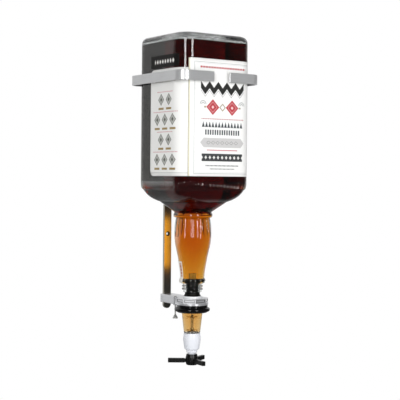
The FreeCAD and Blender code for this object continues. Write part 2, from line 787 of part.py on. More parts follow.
def return_spring():
    """Wire spring between the nozzle's ceiling and the sleeve; the wire has eight flats."""
    length = spring_top - sleeve_top - 2 * spring_wire - 2 * fit
    mean = sleeve_radius - 2 * spring_wire
    low = sleeve_top + spring_wire + fit
    helix = Part.makeHelix(length / spring_turns, length, mean)
    helix.translate(AXIS + vec(0, 0, low))
    corners = []
    for flat in range(8):
        out, up = polar(spring_wire, 45 * flat)
        corners.append(vec(mean + out, axis_y, low + up))
    section = Part.makePolygon(corners + corners[:1])
    return Part.Wire(helix.Edges).makePipeShell([section], True, True)


# ---------------------------------------------------------------- optic, plunger
def spout():
    """White sliding spout: wide sleeve above, narrow tube below, and a three-legged web for the spindle."""
    tube = turned((spout_bore, hub_end + clip_thickness), (tube_radius, hub_end + clip_thickness),
                  (tube_radius, sleeve_bottom), (sleeve_radius - sleeve_edge, sleeve_bottom),
                  (sleeve_radius, sleeve_bottom + sleeve_edge), (sleeve_radius, sleeve_top),
                  (spout_bore + funnel_widening, sleeve_top), (spout_bore, spider_top))
    low = spider_top - spider_thickness
    web = rod(spindle_radius + spider_hub_wall, low, spider_top)
    for turn in range(3):
        leg = radial_bar((0, spout_bore + fit), spider_leg, spider_thickness, (low + spider_top) / 2)
        leg.rotate(AXIS, UP, arm_heading + 120 * turn)
        web = web.fuse(leg)
    tube = tube.fuse(web)
    return tube.cut(rod(spindle_radius + fit / 2, low - 1, sleeve_top)).removeSplitter()


def spindle():
    """Rod that carries both valves, with collars under and over them."""
    end = inlet_valve_top + spindle_tip - spindle_radius
    shape = rod(spindle_radius, spider_top - spider_thickness, end)
    tip = Part.makeSphere(spindle_radius, AXIS + vec(0, 0, end))
    over_outlet = outlet_valve_bottom + valve_thickness + fit
    under_inlet = inlet_valve_top - valve_thickness - fit
    collars = [rod(spindle_radius + collar_width, over_outlet, over_outlet + collar_length),
               rod(spindle_radius + collar_width, under_inlet - collar_length, under_inlet)]
    return shape.fuse([tip] + collars).removeSplitter()


def valve(z):
    """Rubber valve disc with a rounded rim, standing on height z."""
    bore = spindle_radius + fit / 2
    rim = valve_radius - valve_thickness / 2
    return turned((bore, z), (rim, z), ((valve_radius, z + valve_thickness / 2), (rim, z + valve_thickness)),
                  (bore, z + valve_thickness))


def outlet_valve():
    return valve(outlet_valve_bottom)


def inlet_valve():
    return valve(inlet_valve_top - valve_thickness)


def actuator():
    """Black hub with three flat arms, pushed up by the rim of a glass."""
    bore = tube_radius + fit / 2
    crown = actuator_hub_radius
    widest = hub_top - actuator_hub_height * hub_waist
    hub = turned((bore, hub_top), (crown - hub_top_draw, hub_top),
                 ((crown - hub_top_draw / 4, (hub_top + widest) / 2), (crown, widest)),
                 ((crown - hub_foot_draw / 8, (hub_end + widest) / 2),
                  (crown - hub_foot_draw / 2, hub_end + hub_foot_edge)),
                 (crown - hub_foot_draw, hub_end), (bore, hub_end))
    for groove in range(grip_grooves):
        across, along = polar(crown + groove_place, 360 * (groove + 0.5) / grip_grooves)
        hub = hub.cut(rod(groove_radius, hub_end - 1, hub_top + 1, across, axis_y + along))
    middle = hub_top - arm_drop - arm_depth / 2
    blade_start = crown + arm_neck
    arms = []
    for turn in range(3):
        arm = radial_bar((crown - 2 * arm_neck, blade_start), arm_neck_width, arm_neck_depth, middle)
        blade = radial_bar((blade_start, arm_reach), arm_width, arm_depth, middle)
        blade = rounded(blade, arm_round,
                        lambda edge: edge.BoundBox.XLength > 1 or edge.BoundBox.XMin > blade_start + 1)
        arm = arm.fuse(blade)
        arm.rotate(AXIS, UP, arm_heading + 120 * turn)
        arms.append(arm)
    clip_room = rod(tube_radius + clip_width + clearance, hub_end - 1, hub_end + clip_thickness)
    return hub.fuse(arms).cut(clip_room).removeSplitter()


def hub_clip():
    """Spring clip that keeps the hub on the tube."""
    return ring_rod(tube_radius + clip_width, spout_bore, hub_end, hub_end + clip_thickness)


# ---------------------------------------------------------------- write every piece
PIECES = (back_bar, clamp_screws, bottle_ring, holder_arm, gate, gate_pin,
          bottle, spirit_fill, front_label, side_label, band_label,
          seat_washer, stopper, inlet_tube, optic_head, lock_ring, chamber_gasket, chamber, measure_fill,
          nozzle_gasket, nozzle_body, spout_seal, return_spring,
          spout, spindle, outlet_valve, inlet_valve, actuator, hub_clip)

os.makedirs("parts", exist_ok=True)
for piece in PIECES:
    shape = piece()
    shape.exportStep("parts/" + piece.__name__ + ".step")
    litres = shape.Volume / 1e6
    print(f"{piece.__name__}: {len(shape.Solids)} solid(s), valid {shape.isValid()}, {litres:.5f} litres")
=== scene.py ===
"""Looks of the liquor optic dispenser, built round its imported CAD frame. Metres, +Z up."""
import math

import bpy
import numpy as np
from mathutils import Matrix, Vector


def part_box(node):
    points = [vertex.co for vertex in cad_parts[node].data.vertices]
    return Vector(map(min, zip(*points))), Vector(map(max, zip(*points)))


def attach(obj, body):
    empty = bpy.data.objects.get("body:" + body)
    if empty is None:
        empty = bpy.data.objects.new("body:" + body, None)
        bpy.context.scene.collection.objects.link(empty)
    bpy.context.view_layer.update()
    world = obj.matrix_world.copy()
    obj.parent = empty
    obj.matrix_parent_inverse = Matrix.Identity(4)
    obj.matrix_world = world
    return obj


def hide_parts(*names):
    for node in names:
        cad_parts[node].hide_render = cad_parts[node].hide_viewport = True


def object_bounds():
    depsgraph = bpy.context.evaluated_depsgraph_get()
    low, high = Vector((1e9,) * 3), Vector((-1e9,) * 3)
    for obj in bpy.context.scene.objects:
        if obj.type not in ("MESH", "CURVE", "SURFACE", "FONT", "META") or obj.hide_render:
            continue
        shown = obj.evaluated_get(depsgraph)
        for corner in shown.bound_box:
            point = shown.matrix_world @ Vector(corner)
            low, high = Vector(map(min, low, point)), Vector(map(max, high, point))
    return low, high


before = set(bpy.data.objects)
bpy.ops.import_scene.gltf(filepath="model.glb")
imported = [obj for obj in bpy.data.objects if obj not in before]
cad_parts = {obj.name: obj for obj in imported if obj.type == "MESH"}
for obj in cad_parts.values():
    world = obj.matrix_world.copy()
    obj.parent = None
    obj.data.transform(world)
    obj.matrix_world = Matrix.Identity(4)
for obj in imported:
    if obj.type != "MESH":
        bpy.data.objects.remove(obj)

cad_box = [list(corner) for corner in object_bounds()]

# ---------------------------------------------------------------- back bar
# Flat aluminium bar that carries everything. Extruded, cut to length, ends milled round, then satin
# anodised; fine die lines run along it, and painted shade darkens the countersinks of its two screw
# holes.
MM = 0.001
SCREW_Z = 110 * MM  # of the holes, above and below the origin
# Painted shade in each screw hole's countersink: a dark disc, full near the middle and gone at these
# radii.
SHADE_START = 4.4 * MM  # from a hole's middle
SHADE_FULL = 3.6 * MM
STREAK_DEPTH = 0.02 * MM


def linear(code):
    """A colour written as #rrggbb, as the linear RGBA that shader sockets take."""
    parts = [int(code[i:i + 2], 16) / 255 for i in (1, 3, 5)]
    return tuple(part / 12.92 if part <= 0.04045 else ((part + 0.055) / 1.055) ** 2.4
                 for part in parts) + (1.0,)


def node(tree, kind, inputs=None, **settings):
    """Adds a shader node, sets its options, and fills inputs with plain values or links."""
    made = tree.nodes.new(kind)
    for name, value in settings.items():
        setattr(made, name, value)
    for name, value in (inputs or {}).items():
        if isinstance(value, bpy.types.NodeSocket):
            tree.links.new(value, made.inputs[name])
        else:
            made.inputs[name].default_value = value
    return made


def blended(tree, factor, under, over):
    """Colour over laid on colour under by a factor; gives the colour socket."""
    made = tree.nodes.new("ShaderNodeMix")
    made.data_type = "RGBA"
    for slot, value in ((made.inputs[0], factor), (made.inputs[6], under), (made.inputs[7], over)):
        if isinstance(value, bpy.types.NodeSocket):
            tree.links.new(value, slot)
        else:
            slot.default_value = value
    return made.outputs[2]


class Field:
    """A number that changes over a surface. Arithmetic on it adds Math nodes to its material."""

    def __init__(self, tree, socket):
        self.tree = tree
        self.socket = socket

    def math(self, operation, *others):
        """The result of a Math node on this and up to two other numbers or fields."""
        made = self.tree.nodes.new("ShaderNodeMath")
        made.operation = operation
        for slot, value in zip(made.inputs, (self,) + others):
            if isinstance(value, Field):
                self.tree.links.new(value.socket, slot)
            else:
                slot.default_value = value
        return Field(self.tree, made.outputs[0])

    def __add__(self, other):
        return self.math("ADD", other)

    def __sub__(self, other):
        return self.math("SUBTRACT", other)

    def __mul__(self, other):
        return self.math("MULTIPLY", other)

    def __truediv__(self, other):
        return self.math("DIVIDE", other)

    def __and__(self, other):
        return self.math("MINIMUM", other)

    def __or__(self, other):
        return self.math("MAXIMUM", other)

    def __abs__(self):
        return self.math("ABSOLUTE")

    def above(self, limit):
        """1 where the number is over the limit."""
        return self.math("GREATER_THAN", limit)

    def below(self, limit):
        """1 where the number is under the limit."""
        return self.math("LESS_THAN", limit)

    def within(self, low, high):
        """1 where the number lies between low and high."""
        return self.math("COMPARE", (low + high) / 2, (high - low) / 2)

    def away(self, other):
        """Distance from the origin of a point with this and the other number as its sides."""
        return (self * self + other * other).math("SQRT")

    def cell(self, pitch):
        """Distance from the middle of the nearest of cells that repeat every pitch."""
        return self.math("WRAP", pitch / 2, -pitch / 2)


def place(tree):
    """The place on the surface in the row frame, as a vector socket."""
    return node(tree, "ShaderNodeTexCoord").outputs["Object"]


def place_fields(tree):
    """X, Y and Z of the place on the surface, as fields."""
    split = node(tree, "ShaderNodeSeparateXYZ", {"Vector": place(tree)})
    return [Field(tree, socket) for socket in split.outputs]


def stretched(tree, factors):
    """The place on the surface with each of its parts times a factor."""
    made = node(tree, "ShaderNodeVectorMath", {0: place(tree), 1: factors}, operation="MULTIPLY")
    return made.outputs[0]


def noise(tree, vector, scale, detail=2.0, roughness=0.5):
    """Smooth noise over a vector, as a field round 0.5."""
    made = node(tree, "ShaderNodeTexNoise",
                {"Vector": vector, "Scale": scale, "Detail": detail, "Roughness": roughness})
    return Field(tree, made.outputs["Fac"])


def spread(value, start, end, low, high):
    """Low before start, high after end, and even between."""
    made = node(value.tree, "ShaderNodeMapRange", {"Value": value.socket, "From Min": start,
                                                   "From Max": end, "To Min": low, "To Max": high})
    return Field(value.tree, made.outputs[0])


def ramp(value, start, end):
    """0 before start, 1 after end, with a smooth step between."""
    made = node(value.tree, "ShaderNodeMapRange",
                {"Value": value.socket, "From Min": start, "From Max": end},
                interpolation_type="SMOOTHSTEP")
    return Field(value.tree, made.outputs[0])


def new_material(name, constants):
    """A material with constants on its shader's own sockets; gives the material and its tree."""
    made = bpy.data.materials.new(name)
    made.use_nodes = True
    for label, value in constants.items():
        made.node_tree.nodes["Principled BSDF"].inputs[label].default_value = value
    return made, made.node_tree


def feed(tree, label, socket):
    """Links a socket to an input of the material's shader."""
    tree.links.new(socket, tree.nodes["Principled BSDF"].inputs[label])


def bumped(tree, height, distance, strength):
    """Bumps the material's surface by a height socket."""
    bump = node(tree, "ShaderNodeBump", {"Height": height, "Distance": distance, "Strength": strength})
    feed(tree, "Normal", bump.outputs[0])


def new_group(name, inputs, outputs):
    """An empty node group with named sockets, all outputs plain numbers; gives (tree, input, output)."""
    tree = bpy.data.node_groups.new(name, "ShaderNodeTree")
    for label, kind, value in inputs:
        socket = tree.interface.new_socket(label, in_out="INPUT", socket_type=kind)
        socket.default_value = value
    for label in outputs:
        tree.interface.new_socket(label, in_out="OUTPUT", socket_type="NodeSocketFloat")
    return tree, tree.nodes.new("NodeGroupInput"), tree.nodes.new("NodeGroupOutput")


def metal_grain():
    """Grain of finished metal: noise stretched by Stretch gives streaks, and a slow noise gives
    handling marks. Shade is near 1, Roughness swings round Gloss, Height is the streaks."""
    tree, given, out = new_group(
        "metal_grain",
        [("Stretch", "NodeSocketVector", (900, 900, 30)), ("Gloss", "NodeSocketFloat", 0.35)],
        ["Shade", "Roughness", "Height"])
    streaks = noise(tree, stretched(tree, given.outputs["Stretch"]), 1.0, 4.0)
    both = streaks + noise(tree, place(tree), 45.0, 6.0, 0.6)
    swing = (both - 1) * 0.12
    tree.links.new(spread(both, 0.6, 1.4, 0.9, 1.06).socket, out.inputs["Shade"])
    tree.links.new((swing + Field(tree, given.outputs["Gloss"])).socket, out.inputs["Roughness"])
    tree.links.new(streaks.socket, out.inputs["Height"])
    return tree


METAL_GRAIN = metal_grain()


def metal(name, colour, gloss, stretch, bare=1.0):
    """Metal of one colour with the shared grain. Bare is how much of it is bare metal rather than a
    dull skin."""
    made, tree = new_material(name, {"Metallic": bare})
    grain = node(tree, "ShaderNodeGroup", {"Stretch": stretch, "Gloss": gloss}, node_tree=METAL_GRAIN)
    feed(tree, "Base Color",
         blended(tree, grain.outputs["Shade"], linear("#50504e"), linear(colour)))
    feed(tree, "Roughness", grain.outputs["Roughness"])
    bumped(tree, grain.outputs["Height"], STREAK_DEPTH, 0.6)
    return made


def painted_dark(material, mask):
    """Lays a painted dark colour over a material's colour by a mask: painted shade."""
    tree = material.node_tree
    clean = tree.nodes["Principled BSDF"].inputs["Base Color"].links[0].from_socket
    feed(tree, "Base Color", blended(tree, mask.socket, clean, linear("#1c1712")))
    return material


def dress(material, *names):
    """Puts a material on CAD nodes."""
    for name in names:
        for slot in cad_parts[name].material_slots:
            slot.material = material


def bar_aluminium():
    """The metal, with painted shade where the countersinks of the screw holes go in from the front
    face: a dark disc round each hole's middle.
    """
    made = metal("bar_aluminium", "#aaa79c", 0.3, (900, 900, 12))
    x, _, z = place_fields(made.node_tree)
    # Painted shade: a dark disc over each countersink.
    return painted_dark(made, ramp(x.away(abs(z) - SCREW_Z), SHADE_START, SHADE_FULL) * 0.92)


dress(bar_aluminium(), "back_bar")

# ---------------------------------------------------------------- clamp screws, hub clip
# Zinc-plated steel grub screws with hexagon sockets, and a clip of sprung steel strip under the hub.
dress(metal("zinc_steel", "#b4b2aa", 0.3, (260, 260, 260)), "clamp_screws", "hub_clip")

# ---------------------------------------------------------------- bottle ring
# Cast aluminium band with a milled opening at the front. Its faces are satin, brushed level by hand,
# and its edges are broken.
dress(metal("ring_aluminium", "#d3d4d5", 0.32, (25, 25, 700), bare=0.58), "bottle_ring")

# ---------------------------------------------------------------- octagonal holder: arm, gate and pin
# Die-cast aluminium, tumbled satin, with painted shade along the edges of the recessed panels. The pin
# is ground steel with a turned foot.
AXIS_Y = (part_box("bottle")[0].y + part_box("bottle")[1].y) / 2
FLAT_RADIUS = 24.5 * MM  # from the axis to a facet
PANEL_HALF = (8.45 * MM, 2.15 * MM)
PANEL_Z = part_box("gate")[1].z - 3.85 * MM
PANEL_SHADE = (-0.8 * MM, 0.1 * MM)  # how far past a panel's edge the painted shade starts and ends
FACETS_END = 10 * MM  # behind the axis, where the arm runs on plain


def holder_aluminium():
    """The metal, with a dark frame painted in each panel as shade. On a facet, the heading's way past
    the nearest 45 degrees gives the place along it; the frame is where the larger of the ways past the
    panel's half width and half height is about nothing."""
    made = metal("holder_aluminium", "#dedfe2", 0.32, (120, 120, 500), bare=0.7)
    x, y, z = place_fields(made.node_tree)
    y = y - AXIS_Y
    reach = x.away(y)
    turn = y.math("ARCTAN2", x).cell(math.pi / 4)
    past = (abs(turn.math("SINE") * reach) - PANEL_HALF[0]) | (abs(z - PANEL_Z) - PANEL_HALF[1])
    on_facet = (turn.math("COSINE") * reach).within(FLAT_RADIUS - 1 * MM, FLAT_RADIUS + 0.2 * MM)
    # The dark frame is painted shade along the panels' recessed edges.
    return painted_dark(made, (past.within(*PANEL_SHADE) & on_facet & y.below(FACETS_END)) * 0.7)


dress(holder_aluminium(), "holder_arm", "gate")
dress(metal("pin_steel", "#d2d2cf", 0.22, (60, 60, 900), bare=0.6), "gate_pin")

# ---------------------------------------------------------------- bottle
# Square bottle of clear blown glass, thick in the base, which is stippled all round its edge. The
# mould left a slow waviness in its walls and pressed a row of long pointed studs round the shoulder.
BASE_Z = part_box("bottle")[1].z
LIP_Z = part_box("bottle")[0].z
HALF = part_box("bottle")[1].x
CORNER = 28 * MM
CORNER_GAIN = 1 * MM  # of its radius, down the shoulder
GLASS = 4 * MM
BASE_BAND = 12 * MM  # height of the stipple
WAVE_DEPTH = 0.5 * MM
STIPPLE_DEPTH = 1.6 * MM
NECK_TOP = LIP_Z + 132 * MM
NECK_RADIUS = 31.5 * MM  # outside, at NECK_TOP
SHOULDER_FOOT = NECK_TOP + 16.2 * MM
SHOULDER_RISE = 33.8 * MM
SHOULDER_TOP = SHOULDER_FOOT + SHOULDER_RISE
FOOT_HALF = 48 * MM  # half width at SHOULDER_FOOT
DOME = 0.94  # part of a quarter circle that the shoulder's fall uses


def bottle_glass():
    """Clear glass. The bump adds slow waves of the wall to a fine stipple on the base band, which is
    rougher too."""
    made, tree = new_material("bottle_glass", {"Base Color": (0.93, 0.96, 0.95, 1),
                                               "Transmission Weight": 1.0, "IOR": 1.47})
    base_band = place_fields(tree)[2].above(BASE_Z - BASE_BAND)
    stipple = noise(tree, stretched(tree, (120, 120, 480)), 1.0, 3.0) * base_band
    height = noise(tree, place(tree), 22.0) * WAVE_DEPTH + stipple * STIPPLE_DEPTH
    bumped(tree, height.socket, 1.0, 1.0)
    feed(tree, "Roughness", (stipple * 0.25 + 0.015).socket)
    return made


BOTTLE_GLASS = bottle_glass()
dress(BOTTLE_GLASS, "bottle")


def grid_piece(name, points, uv=None, closed=False, crease=None):
    """A mesh from a (rows, columns, 3) grid of points; closed joins the last column to the first.
    Edges that turn by more than crease degrees are shaded sharp."""
    rows, columns = points.shape[:2]
    index = np.arange(rows * columns).reshape(rows, columns)
    after = np.roll(index, -1, 1) if closed else index[:, 1:]
    here = index if closed else index[:, :-1]
    faces = np.stack([here[:-1], after[:-1], after[1:], here[1:]], -1).reshape(-1, 4)
    mesh = bpy.data.meshes.new(name)
    mesh.from_pydata(points.reshape(-1, 3).tolist(), [], faces.tolist())
    if uv is not None:
        layer = mesh.uv_layers.new(name="print")
        layer.data.foreach_set("uv", uv.reshape(-1, 2)[faces.ravel()].ravel())
    mesh.polygons.foreach_set("use_smooth", np.ones(len(faces), bool))
    if crease is not None:
        mesh.set_sharp_from_angle(angle=math.radians(crease))
    mesh.update()
    piece = bpy.data.objects.new(name, mesh)
    bpy.context.scene.collection.objects.link(piece)
    return piece


def joined(piece):
    """Merges the points that meet at seams and poles."""
    weld = piece.modifiers.new("joined", "WELD")
    weld.merge_threshold = 0.01 * MM


ARC_SHARE = 0.35  # part of each quarter's steps that goes round the corner


def square_loops(half, corner, z, steps):
    """Rounded-square loops about the bottle's axis, one for each entry of half, corner and z. In each
    quarter the heading first turns evenly by 90 degrees round the corner's centre, then the point runs
    straight along the face."""
    half, corner, z = [np.asarray(value, float)[:, None] for value in (half, corner, z)]
    quarter, share = np.divmod(np.arange(4 * steps), steps)
    share = share / steps
    start = math.pi / 2 * quarter
    turn = math.pi / 2 * (quarter + np.clip(share / ARC_SHARE, 0, 1))
    centre = half - corner
    run = 2 * centre * np.clip((share - ARC_SHARE) / (1 - ARC_SHARE), 0, 1)
    x = centre * (np.cos(start) - np.sin(start)) + corner * np.cos(turn) - run * np.cos(start)
    y = centre * (np.sin(start) + np.cos(start)) + corner * np.sin(turn) - run * np.sin(start)
    return np.stack([x, AXIS_Y + y, np.broadcast_to(z, x.shape)], -1)


def shoulder(z, inset):
    """Half width and corner radius of the shoulder at a height: the faces draw in as a circle's edge
    falls away, the corner radius grows evenly."""
    share = np.clip((SHOULDER_TOP - z) / SHOULDER_RISE, 0, 1)
    bulge = (1 - np.sqrt(1 - (DOME * share) ** 2)) / (1 - math.sqrt(1 - DOME ** 2))
    return HALF + (FOOT_HALF - HALF) * bulge - inset, CORNER + CORNER_GAIN * share - inset


STUDS = 72
STUD_STEPS = 12  # of the mesh, across each stud and its gap
STUD_HALF = 3.1 * MM  # half its width, at the peak
STUD_RISE = 1.15 * MM
STUD_ABOVE = 10.6 * MM  # from the peak to the upper tip
STUD_BELOW = 2.2 * MM
PEAK_Z = -32 * MM
BELT_MARGIN = 1 * MM  # past the tips
BELT_PROUD = 0.1 * MM
BELT_SUNK = 0.25 * MM


def shoulder_studs():
    """A closed belt on the shoulder, with its outside a little proud and its inside just under the
    glass. Each stud adds a long four-sided point: its rise less the shares of the way from the peak to
    its edge, across and up or down."""
    steps = STUDS // 4 * STUD_STEPS
    below = np.linspace(-STUD_BELOW - BELT_MARGIN, 0, 7)
    above = np.linspace(0, STUD_ABOVE + BELT_MARGIN, 19)
    reach = np.concatenate([below, above[1:]])
    z = PEAK_Z + reach
    half, corner = shoulder(z, 0)
    outer = square_loops(half, corner, z, steps)
    inward = 1 * MM
    outward = (outer - square_loops(half - inward, corner - inward, z, steps)) / inward
    pitch = 4 * (2 * (HALF - CORNER) + math.pi / 2 * CORNER) / STUDS
    along = (np.arange(4 * steps) / STUD_STEPS + 0.5) % 1 - 0.5
    tall = np.maximum(reach / STUD_ABOVE, -reach / STUD_BELOW)[:, None]
    rise = STUD_RISE * np.clip(1 - abs(along * pitch / STUD_HALF) - tall, 0, None) + BELT_PROUD
    face = outer + outward * rise[:, :, None]
    back = outer - outward * BELT_SUNK
    skin = np.concatenate([face, back[::-1], face[:1]])
    belt = grid_piece("shoulder_studs", skin, closed=True, crease=12)
    joined(belt)
    belt.data.materials.append(BOTTLE_GLASS)
    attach(belt, "bracket")


shoulder_studs()

# ---------------------------------------------------------------- spirit
# Dark amber spirit, deepest in colour in the wide body, which holds a denser copy of it as painted
# shade, and orange where the neck is narrow. It wets the glass, so its skin lies a little way inside
# the wall, and it soaks up blue first, then green.
WET = 0.35 * MM
SPLIT_Z = NECK_TOP - 4 * MM
OVERLAP = 0.1 * MM  # of each body past SPLIT_Z
THROAT_Z = NECK_TOP - 6 * MM
NARROWING = 2.25 / 6  # of the cavity's radius over its height, from NECK_TOP to THROAT_Z
SURFACE_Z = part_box("spirit_fill")[1].z
CLIMB = ((3 * MM, 0), (0.8 * MM, 0.3 * MM), (0, 1.1 * MM))  # (way in from the glass, rise)


def spirit(name, colour, density):
    """Clear liquid that takes away, each metre, density times what its colour lacks of white."""
    made, tree = new_material(name, {"Base Color": (1, 1, 1, 1), "Transmission Weight": 1.0,
                                     "Roughness": 0.0, "IOR": 1.36})
    soak = node(tree, "ShaderNodeVolumeAbsorption", {"Color": colour, "Density": density})
    tree.links.new(soak.outputs[0], tree.nodes["Material Output"].inputs["Volume"])
    return made


def poured(piece, material, *nodes):
    """Finishes a body of spirit that stands for CAD nodes."""
    joined(piece)
    piece.data.materials.append(material)
    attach(piece, "bracket")
    if nodes:
        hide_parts(*nodes)


def turned_points(radius, z, heading):
    """A grid of points about the bottle's axis: a row for each radius and z, a column for each
    heading."""
    x = radius[:, None] * np.cos(heading)
    y = AXIS_Y + radius[:, None] * np.sin(heading)
    return np.stack([x, y, np.broadcast_to(z[:, None], x.shape)], -1)


def turned_piece(name, outline):
    """A solid turned about the bottle's axis: each (radius, z) of the outline goes round, from pole to
    pole."""
    radius, z = np.array(outline).T
    heading = np.linspace(0, 2 * math.pi, 96, endpoint=False)
    return grid_piece(name, turned_points(radius, z, heading), closed=True, crease=35)


def spirit_in_body():
    """From the surface, which climbs a little at the glass, down the walls and the shoulder, and into
    the cone over the neck: loops with their radius and corner drawn in by the glass."""
    inset = GLASS - WET
    half = HALF - inset
    corner = CORNER - inset
    rows = [(0, 0, SURFACE_Z), (half / 2, corner / 2, SURFACE_Z)]
    rows += [(half - back, corner - back, SURFACE_Z + rise) for back, rise in CLIMB]
    wall_z = np.linspace(SURFACE_Z, SHOULDER_TOP, 9)
    shoulder_z = SHOULDER_TOP - SHOULDER_RISE * np.linspace(0, 1, 17)[1:]
    rows += [(*shoulder(z, inset), z) for z in np.concatenate([wall_z, shoulder_z])]
    low = NECK_RADIUS - inset
    foot = SPLIT_Z - OVERLAP
    lowest = low - NARROWING * (NECK_TOP - foot)
    rows += [(low, low - 0.2 * MM, NECK_TOP), (lowest, lowest - 0.2 * MM, foot), (0, 0, foot)]
    loops = square_loops(*zip(*rows), 40)
    return grid_piece("spirit_in_body", loops[::-1], closed=True, crease=35)


NECK_WALL = 4.3 * MM
BULB_TOP = NECK_TOP - 10.4 * MM
BULB_FOOT = LIP_Z + 22.5 * MM
BULB_SHARES = (0.0, 0.13, 0.21, 0.44, 0.63, 0.74, 0.87, 1.0)  # of the way down the bulb
BULB_RADII = (27.9, 30.3, 30.6, 29.0, 24.9, 22.9, 20.7, 19.5)  # there, in mm
PLUG_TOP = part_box("stopper")[1].z
PLUG = ((11.3, -6.0), (10.5, -6.0), (9.3, -2.4), (9.3, -1.6), (7.9, -0.2), (4.2, -0.2))  # mm
TUBE_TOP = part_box("inlet_tube")[1].z
TUBE_RADIUS = 4.2 * MM
TUBE_SKIN = 0.3 * MM


def bulb_radius(z):
    """Outside radius of the bulb at a height: a smooth curve through the mould's radii. Between two of
    them it is the cubic that has both ends' values and slopes."""
    share = (BULB_TOP - np.asarray(z)) / (BULB_TOP - BULB_FOOT)
    fine = np.linspace(0, 1, 400)
    slopes = np.gradient(BULB_RADII, BULB_SHARES)
    span = np.clip(np.searchsorted(BULB_SHARES, fine, side="right") - 1, 0, len(BULB_SHARES) - 2)
    left, right = np.take(BULB_SHARES, span), np.take(BULB_SHARES, span + 1)
    at = (fine - left) / (right - left)
    values = (1 + 2 * at) * (1 - at) ** 2 * np.take(BULB_RADII, span) \
        + at ** 2 * (3 - 2 * at) * np.take(BULB_RADII, span + 1)
    bends = at * (1 - at) ** 2 * slopes[span] + at ** 2 * (at - 1) * slopes[span + 1]
    return np.interp(share, fine, values + (right - left) * bends) * MM


def spirit_in_neck():
    """Down the inside of the bulb to the mouth's bore, then back up over the plug and the inlet tube,
    whose skins it overlaps so that they show wet. The plug's outline is (radius, way up from its
    top)."""
    wall = [(bulb_radius(z) - NECK_WALL + WET, z) for z in np.linspace(BULB_TOP, BULB_FOOT, 41)]
    throat = NECK_RADIUS - GLASS + WET - NARROWING * (NECK_TOP - THROAT_Z)
    top = SPLIT_Z + OVERLAP
    tube_end = TUBE_TOP - TUBE_SKIN
    outline = [(0, top), (throat + NARROWING * (top - THROAT_Z), top), (throat, THROAT_Z)] + wall
    outline += [(radius * MM, PLUG_TOP + up * MM) for radius, up in PLUG]
    outline += [(TUBE_RADIUS, tube_end), (0, tube_end)]
    return turned_piece("spirit_in_neck", outline[::-1])


# The body's spirit is the same spirit made denser: painted shade for the dim body.
SHADED_SPIRIT = spirit("shaded_spirit", (0.885, 0.5, 0.03, 1), 200.0)
SPIRIT = spirit("spirit", (0.925, 0.68, 0.07, 1), 140.0)
poured(spirit_in_body(), SHADED_SPIRIT, "spirit_fill")
poured(spirit_in_neck(), SPIRIT)

# ---------------------------------------------------------------- labels
# Three paper labels glued round the near corner of the bottle: white ones on the front and left faces
# that meet at a seam, and a black strip over the left one. Litho printed and varnished.
NEAR_CORNER = math.radians(225)  # its heading
ARC = CORNER * math.pi / 4  # from the middle of the near corner to a face
FLAT = 2 * (HALF - CORNER)
PAPER = 0.25 * MM
LIFT = 0.05 * MM + PAPER
SEAM = math.radians(15) * CORNER
REAR = -(ARC + HALF - CORNER + 21 * MM)
FRONT_WIDTH = 126.6 * MM
SIDE_WIDTH = 92.5 * MM


def wrapped(s, z):
    """Points on the bottle's wall, lifted by the paper, s metres round from the middle of the near
    corner. On a corner the heading turns evenly with s; on a face the point runs straight."""
    grown = CORNER + LIFT
    near = np.clip(s, -ARC, ARC) / CORNER
    far = np.clip(s - ARC - FLAT, 0, None) / CORNER
    turn = near + far + NEAR_CORNER
    run = np.clip(s - ARC, 0, FLAT)
    back = np.clip(-s - ARC, 0, None)
    x = -HALF + CORNER + run + grown * np.cos(turn)
    y = AXIS_Y - HALF + CORNER + back + grown * np.sin(turn)
    return np.stack([x, y, z], -1)


def thickened(piece, side):
    """Gives a sheet the paper's thickness, to its front for 1 and to its back for -1."""
    thick = piece.modifiers.new("paper", "SOLIDIFY")
    thick.thickness = PAPER
    thick.offset = side


def paper_label(name, s_range, corner, material, cad_node):
    """A label between two distances round the wall, as high as the CAD's label. Its first side's
    corners are rounded: near it the height shrinks as a quarter circle does. The UV map is in metres
    from the label's lower first corner."""
    low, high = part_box(cad_node)[0].z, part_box(cad_node)[1].z
    s = np.linspace(*s_range, 97)
    run = np.clip(corner - (s - s_range[0]), 0, None)
    shrink = corner - np.sqrt(np.clip(corner ** 2 - run ** 2, 0, None))
    share = np.linspace(0, 1, 33)[:, None]
    z = low + shrink + share * (high - low - 2 * shrink)
    along = np.broadcast_to(s, z.shape)
    piece = grid_piece(name, wrapped(along, z), np.stack([along - s_range[0], z - low], -1))
    thickened(piece, -1)
    piece.data.materials.append(material)
    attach(piece, "bracket")
    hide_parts(cad_node)


def paper_material(name, paint, mottled=0.08, varnish=0.4):
    """Varnished paper: paint(tree, u, v) gives the printed colour at a place in millimetres. Fibres
    show as a faint mottle in the colour and a fine bump."""
    made, tree = new_material(name, {"Roughness": 0.45, "Specular IOR Level": varnish})
    sheet = node(tree, "ShaderNodeUVMap", uv_map="print").outputs[0]
    split = node(tree, "ShaderNodeSeparateXYZ", {"Vector": sheet})
    u, v = [Field(tree, socket) * (1 / MM) for socket in split.outputs[:2]]
    fibre = noise(tree, place(tree), 900.0, 5.0)
    mottle = spread(fibre, 0.0, 1.0, 0.0, mottled)
    feed(tree, "Base Color", blended(tree, mottle.socket, paint(tree, u, v), linear("#a8a294")))
    bumped(tree, fibre.socket, 0.02 * MM, 0.5)
    return made


def inked(tree, under, layers):
    """Lays printed colours on one after the other; layers are (mask, colour) pairs."""
    for mask, colour in layers:
        under = blended(tree, mask.socket, under, linear(colour))
    return under


def block(u, v, left, right, low, high):
    """1 inside a rectangle."""
    return u.within(left, right) & v.within(low, high)


def frame_line(u, v, left, right, low, high, line):
    """A rectangle's outline: the rectangle without its inside."""
    inside = block(u, v, left + line, right - line, low + line, high - line)
    return block(u, v, left, right, low, high) & (inside * -1 + 1)


